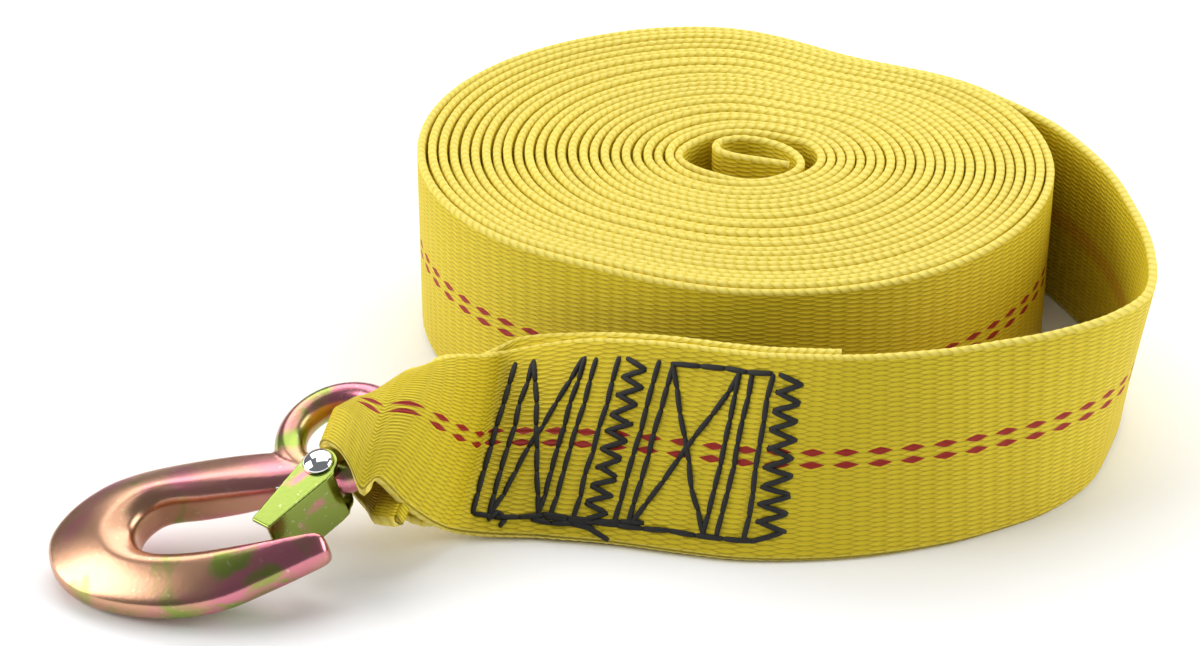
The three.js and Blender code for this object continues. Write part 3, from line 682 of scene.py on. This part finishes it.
def tube_faces(count, sides, first):
    i, k = np.meshgrid(np.arange(count - 1), np.arange(sides), indexing="ij")
    after = (k + 1) % sides
    faces = np.stack([i * sides + k, i * sides + after, (i + 1) * sides + after, (i + 1) * sides + k], -1)
    faces = (faces.reshape(-1, 4) + first).tolist()
    faces.append(list(range(first, first + sides))[::-1])
    faces.append(list(range(first + (count - 1) * sides, first + count * sides)))
    return faces


def seam_lines(w, seam):
    """Lines of the seam: rows across, crosses, zigzags and the two runs along the edges."""
    half = (w.width / 2 - seam.margin) / MM
    lines = [[(s, -half), (s, half)] for s in ROWS]
    for a, b in CROSSES:
        lines += [[(a, -half), (b, half)], [(b, -half), (a, half)]]
    for a, b in ZIGZAGS:
        teeth = 2 * seam.teeth
        lines.append([(b if i % 2 else a, half - 2 * half * i / teeth) for i in range(teeth + 1)])
    lines.append([(0, -half), (ZIGZAGS[1][0], -half)])
    lines.append([(CROSSES[1][0], half), (ROWS[9], half)])
    return lines


def stitches(w, seam, rows, along, start, direction, face):
    """Every stitch of a seam as a strand that dips into the webbing at its ends. Face 0 is the outer one."""
    verts, faces = [], []
    rng = np.random.default_rng(7 + face)
    normals = normals_of(rows)
    lines = seam_lines(w, seam)
    if face == 0:
        low = (w.width / 2 - seam.margin) / MM
        lines += [[(s, v - low) for s, v in line] for line in LOCKS]
    for line in lines:
        for (s0, v0), (s1, v1) in zip(line, line[1:]):
            length = math.hypot(s1 - s0, v1 - v0)
            pieces = max(1, round(length * MM / seam.stitch)) if len(line) == 2 else 1
            jitter = rng.normal(0, 0.22, (pieces + 1, 2))
            first = np.array([s0, v0])
            run = np.array([s1, v1]) - first
            for k in range(pieces):
                f = np.linspace(0, 1, 9)
                a = first + run * k / pieces + jitter[k]
                b = first + run * (k + 1) / pieces + jitter[k + 1]
                path = a + (b - a) * f[:, None]
                place = start + direction * (seam.inset + path[:, 0] * MM)
                at = resample(rows, along, place)
                normal = unit(np.column_stack([np.interp(place, along, normals[:, j]) for j in range(3)]))
                rise = 0.5 * w.thickness + (0.3 * np.sin(math.pi * f) ** 0.5 - 0.12) * seam.thread
                sideways, bow = curled(at[:, 6:7], at[:, 9:10], path[:, 1:] * MM / (w.width / 2))
                points = at[:, :3] + at[:, 3:6] * sideways + normal * (rise[:, None] + bow)
                width = 0.5 * seam.thread * (0.8 + 0.2 * np.sin(math.pi * f) ** 0.5)
                ring = tube(points, normal, width, 0.72)
                faces += tube_faces(len(ring), ring.shape[1], len(verts))
                verts += ring.reshape(-1, 3).tolist()
    return np.array(verts) + COIL_CENTRE, faces


def fuse(name, parts, voxel, rounds):
    """One smooth body out of overlapping closed parts."""
    bpy.ops.object.select_all(action="DESELECT")
    for part in parts:
        part.select_set(True)
    bpy.context.view_layer.objects.active = parts[0]
    if len(parts) > 1:
        bpy.ops.object.join()
    body = bpy.context.view_layer.objects.active
    body.name = name
    body.data.name = name
    remesh = body.modifiers.new("skin", "REMESH")
    remesh.mode = "VOXEL"
    remesh.voxel_size = voxel
    remesh.use_smooth_shade = True
    smooth = body.modifiers.new("forged", "SMOOTH")
    smooth.factor = 0.5
    smooth.iterations = rounds
    for modifier in [m.name for m in body.modifiers]:
        bpy.ops.object.modifier_apply(modifier=modifier)
    return body


def hook_matrix(w, local=(0, 0), turn=0.0):
    """From a place in the hook's own plane to the room."""
    x, y, z = hook_axes()
    place = eye_centre(w) + COIL_CENTRE
    basis = Matrix([[x[i], y[i], z[i], place[i]] for i in range(3)] + [[0, 0, 0, 1]])
    return basis @ Matrix.Translation((local[0], local[1], 0)) @ Matrix.Rotation(turn, 4, "Z")


def place_mesh(obj, matrix):
    obj.data.transform(matrix)
    obj.data.update()
    return obj


def loft_object(name, ring_list):
    points = np.array(ring_list)
    faces = tube_faces(len(points), points.shape[1], 0)
    return new_object(name, points.reshape(-1, 3), faces)


def turned(name, outline, sides=48):
    """Body turned about z from (radius, height) points."""
    angle = np.arange(sides) / sides * 2 * math.pi
    ring_list = [[(r * math.cos(a), r * math.sin(a), z) for a in angle] for r, z in outline]
    return loft_object(name, ring_list)


def ring_object(name, radius, half_width, half_height, sides=96, around=40):
    """Closed ring with an oval section."""
    a = np.arange(sides) / sides * 2 * math.pi
    b = np.arange(around) / around * 2 * math.pi
    r = radius + half_width * np.cos(b)[None, :]
    verts = np.stack([r * np.cos(a)[:, None], r * np.sin(a)[:, None],
                      np.broadcast_to(half_height * np.sin(b)[None, :], (sides, around))], -1).reshape(-1, 3)
    i, k = np.meshgrid(np.arange(sides), np.arange(around), indexing="ij")
    j, m = (i + 1) % sides, (k + 1) % around
    faces = np.stack([i * around + k, j * around + k, j * around + m, i * around + m], -1).reshape(-1, 4)
    return new_object(name, verts, faces.tolist())


def steel_rings(h):
    """Rings of the forged steel, from the boss round the bowl to the tip."""
    rows = catmull([(*a, *b, c) for a, b, c in STEEL], 6)
    half = np.array(STEEL_PROFILE)
    lower = half[::-1][:-1] * (1, -1)
    loop = np.vstack([half, lower])
    loop = catmull(np.vstack([loop, loop[:1]]), 4)[:-1]
    result = []
    for row in rows:
        x = (row[0] + (row[2] - row[0]) * loop[:, 0]) * MM
        y = (row[1] + (row[3] - row[1]) * loop[:, 0]) * MM
        z = loop[:, 1] * row[4] * h.crest
        result.append(np.column_stack([x, y, z]))
    return result


# Operators

def settings(context):
    scene = context.scene
    return (scene.strap_webbing, scene.strap_seam, scene.strap_hook, scene.strap_latch, scene.strap_stage)


class STRAP_OT_webbing(bpy.types.Operator):
    """Builds the wound webbing with its free loop, its fold round the hook's eye and its tail"""
    bl_idname = "strap.webbing"
    bl_label = "Webbing"

    def execute(self, context):
        w, _, h, _, _ = settings(context)
        rows, along, marks = strap_path(w, h)
        cuts = [(0.0, marks["front"], w.step * 1.25, 3, False),
                (marks["front"], marks["length"], w.step, 33, True)]
        verts, faces, uvs = [], [], []
        for number, (start, end, step, columns, pleats) in enumerate(cuts):
            places = np.linspace(start, end, round((end - start) / step))
            at = resample(rows, along, places)
            points, place, around = rings(w, at, columns, places, pleats)
            points = points + COIL_CENTRE
            points[:, :, 2] = np.maximum(points[:, :, 2], 0.00005)
            caps = (number == 0, number == 1)
            new_faces, new_uvs = sleeve(points, places, place, around, len(verts), caps)
            verts += points.reshape(-1, 3).tolist()
            faces += new_faces
            uvs += new_uvs
        strap = new_object("webbing", verts, faces, uvs)
        strap.data.materials.append(webbing_material())
        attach(strap, "strap")
        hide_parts("webbing_strap")
        return {"FINISHED"}


class STRAP_OT_seam(bpy.types.Operator):
    """Sews the eye: the black stitches on the outer face and on the tail"""
    bl_idname = "strap.seam"
    bl_label = "Stitching"

    def execute(self, context):
        w, seam, h, _, _ = settings(context)
        rows, along, marks = strap_path(w, h)
        black = thread_material()
        seams = (("stitching_front", marks["seam"], -1), ("stitching_back", marks["tail_seam"], 1))
        for face, (name, start, direction) in enumerate(seams):
            verts, faces = stitches(w, seam, rows, along, start, direction, face)
            piece = new_object(name + "_looks", verts, faces)
            piece.data.materials.append(black)
            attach(piece, "strap")
            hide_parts(name)
        return {"FINISHED"}


class STRAP_OT_hook(bpy.types.Operator):
    """Forges the hook with its eye and the boss for the rivet"""
    bl_idname = "strap.hook"
    bl_label = "Hook"

    def execute(self, context):
        w, _, h, _, _ = settings(context)
        bar = h.eye_radius + h.bar_width / 2
        boss = turned("boss", [(h.boss_radius, -0.0037), (h.boss_radius, 0.0037)])
        place_mesh(boss, Matrix.Translation((*RIVET, 0)))
        parts = [loft_object("bowl", steel_rings(h)),
                 ring_object("eye", bar, h.bar_width / 2, h.bar_height / 2), boss]
        hook = fuse("hook", parts, h.voxel, 6)
        place_mesh(hook, hook_matrix(w))
        hook.data.materials.append(zinc_material("forged steel, yellow zinc", 0.27, 0.0))
        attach(hook, "hook")
        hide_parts("hook_body")
        return {"FINISHED"}


class STRAP_OT_latch(bpy.types.Operator):
    """Folds the sheet latch that closes the throat"""
    bl_idname = "strap.latch"
    bl_label = "Latch"

    def execute(self, context):
        w, _, h, c, _ = settings(context)
        web = h.boss_radius + RUNNING_GAP + c.sheet
        corner = 2.8 * MM
        half = c.inside / 2
        arc = [(4.6 * MM * math.cos(a), 4.6 * MM * math.sin(a))
               for a in np.radians(np.linspace(100, 262, 14))]
        ear = [(0.6 * MM, web)] + arc + [(c.reach, -corner), (c.reach, corner), (3 * MM, web)]
        wall = [(0.6 * MM, web), (0.6 * MM, web - c.sheet), (3 * MM, web - c.sheet),
                (c.reach, corner - c.sheet), (c.reach, corner), (3 * MM, web)]
        parts = []
        for shape, low, high in ((ear, half, half + c.sheet), (ear, -half - c.sheet, -half),
                                 (wall, -half - c.sheet, half + c.sheet)):
            parts.append(loft_object("sheet", [[(x, y, z) for x, y in shape] for z in (low, high)]))
        latch = fuse("latch_looks", parts, 0.00022, 4)
        place_mesh(latch, hook_matrix(w, RIVET, LATCH_ANGLE))
        latch.data.materials.append(zinc_material("pressed sheet, yellow zinc", 0.2, 0.16))
        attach(latch, "latch")
        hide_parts("latch")
        return {"FINISHED"}


class STRAP_OT_rivet(bpy.types.Operator):
    """Turns the domed rivet and winds the spring round it"""
    bl_idname = "strap.rivet"
    bl_label = "Rivet and spring"

    def execute(self, context):
        w, _, h, c, _ = settings(context)
        gap = RUNNING_GAP
        seat = c.inside / 2 + c.sheet + gap
        dome = [(c.head_radius * math.sin(a), seat + c.head_height * math.cos(a))
                for a in np.radians(np.linspace(90, 2, 14))]
        outline = [(r, -z) for r, z in dome[::-1]] + [(c.rivet_radius, -seat), (c.rivet_radius, seat)] + dome
        rivet = turned("rivet_looks", outline)
        place_mesh(rivet, hook_matrix(w, RIVET))
        rivet.data.materials.append(plain_metal("bright plated steel", "#E6E6EA", 0.06))
        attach(rivet, "hook")
        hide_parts("latch_rivet")
        radius = c.rivet_radius + gap + c.wire / 2 + 0.3 * MM
        low = h.bar_height / 2 + gap + c.wire / 2
        rise = c.inside / 2 - gap - c.wire / 2 - low
        sweep = math.degrees(LATCH_ANGLE) + 90 + 90
        line = [(-11 * MM, -radius, low), (-3.3 * MM, -radius, low)]
        for f in np.linspace(0, 1, 60):
            angle = math.radians(270 + sweep * f)
            line.append((radius * math.cos(angle), radius * math.sin(angle), low + rise * f))
        x, y, z = line[-1]
        line.append((x + 2 * MM * math.cos(LATCH_ANGLE), y + 2 * MM * math.sin(LATCH_ANGLE), z))
        points = np.array(line)
        ring = tube(points, np.tile([0.0, 0.0, 1.0], (len(points), 1)), c.wire / 2, 1.0, 10)
        spring = loft_object("spring_looks", ring)
        place_mesh(spring, hook_matrix(w, RIVET))
        spring.data.materials.append(plain_metal("bright drawn wire", "#C9C9CC", 0.2))
        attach(spring, "hook")
        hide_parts("latch_spring")
        return {"FINISHED"}


def area_light(name, place, target, size, power):
    """Softbox at a place, turned towards its target."""
    data = bpy.data.lights.new(name, "AREA")
    data.shape = "RECTANGLE"
    data.size, data.size_y = size
    data.energy = power
    lamp = bpy.data.objects.new(name, data)
    lamp.location = place
    lamp.rotation_euler = (Vector(target) - Vector(place)).to_track_quat("-Z", "Y").to_euler()
    bpy.context.scene.collection.objects.link(lamp)
    return lamp


class STRAP_OT_stage(bpy.types.Operator):
    """Sets the pale floor, the soft light and the camera"""
    bl_idname = "strap.stage"
    bl_label = "Stage"

    def execute(self, context):
        stage = settings(context)[4]
        scene = context.scene
        side = stage.floor / 2
        floor = new_object("floor", [(-side, -side, 0), (side, -side, 0), (side, side, 0), (-side, side, 0)],
                           [(0, 1, 2, 3)], smooth=False)
        material, tree = blank("white paper sweep")
        finish_material(tree, {"Base Color": linear("#FCFCFC"), "Roughness": 0.9})
        floor.data.materials.append(material)
        power = stage.light
        lamps = [
            area_light("back softbox", (0.0, 1.0, 1.1), (0, 0, 0), (2.2, 1.0), power),
            area_light("left softbox", (-1.3, -0.1, 0.6), (0, 0, 0.02), (0.9, 1.2), power * 0.85),
            area_light("right softbox", (1.3, -0.2, 0.6), (0, 0, 0.02), (0.9, 1.2), power * 0.75),
            area_light("top softbox", (0.0, 0.3, 1.7), (0, 0, 0.02), (1.6, 0.8), power * 0.3),
        ]
        world = bpy.data.worlds.new("studio")
        world.use_nodes = True
        world.node_tree.nodes["Background"].inputs[0].default_value = (0.95, 0.97, 1.0, 1)
        world.node_tree.nodes["Background"].inputs[1].default_value = 0.2
        scene.world = world
        data = bpy.data.cameras.new("camera")
        data.lens = CAMERA_LENS
        data.sensor_width = 36
        camera = bpy.data.objects.new("camera", data)
        camera.location = CAMERA_PLACE
        camera.rotation_euler = (CAMERA_TILT, 0, 0)
        scene.collection.objects.link(camera)
        scene.camera = camera
        scene.view_settings.view_transform = "Standard"
        return {"FINISHED"}


class STRAP_PT_panel(bpy.types.Panel):
    """Sizes of the strap and the buttons that build it"""
    bl_idname = "STRAP_PT_panel"
    bl_label = "Winch strap"
    bl_space_type = "VIEW_3D"
    bl_region_type = "UI"
    bl_category = "Winch strap"

    def draw(self, context):
        for group in settings(context):
            for key in group.bl_rna.properties.keys():
                if key not in ("rna_type", "name"):
                    self.layout.prop(group, key)
        for operator in OPERATORS:
            self.layout.operator(operator.bl_idname)


GROUPS = {"strap_webbing": WebbingSettings, "strap_seam": SeamSettings, "strap_hook": HookSettings,
          "strap_latch": LatchSettings, "strap_stage": StageSettings}
OPERATORS = (STRAP_OT_webbing, STRAP_OT_seam, STRAP_OT_hook, STRAP_OT_latch, STRAP_OT_rivet, STRAP_OT_stage)


def register():
    for group in (*GROUPS.values(), *OPERATORS, STRAP_PT_panel):
        bpy.utils.register_class(group)
    for key, group in GROUPS.items():
        setattr(bpy.types.Scene, key, bpy.props.PointerProperty(type=group))


def unregister():
    for key in GROUPS:
        delattr(bpy.types.Scene, key)
    for group in (STRAP_PT_panel, *reversed(OPERATORS), *reversed(GROUPS.values())):
        bpy.utils.unregister_class(group)


def main():
    register()
    bpy.ops.strap.webbing()
    bpy.ops.strap.seam()
    bpy.ops.strap.hook()
    bpy.ops.strap.latch()
    bpy.ops.strap.rivet()
    bpy.ops.strap.stage()
    bpy.context.view_layer.update()


if __name__ == "__main__":
    main()
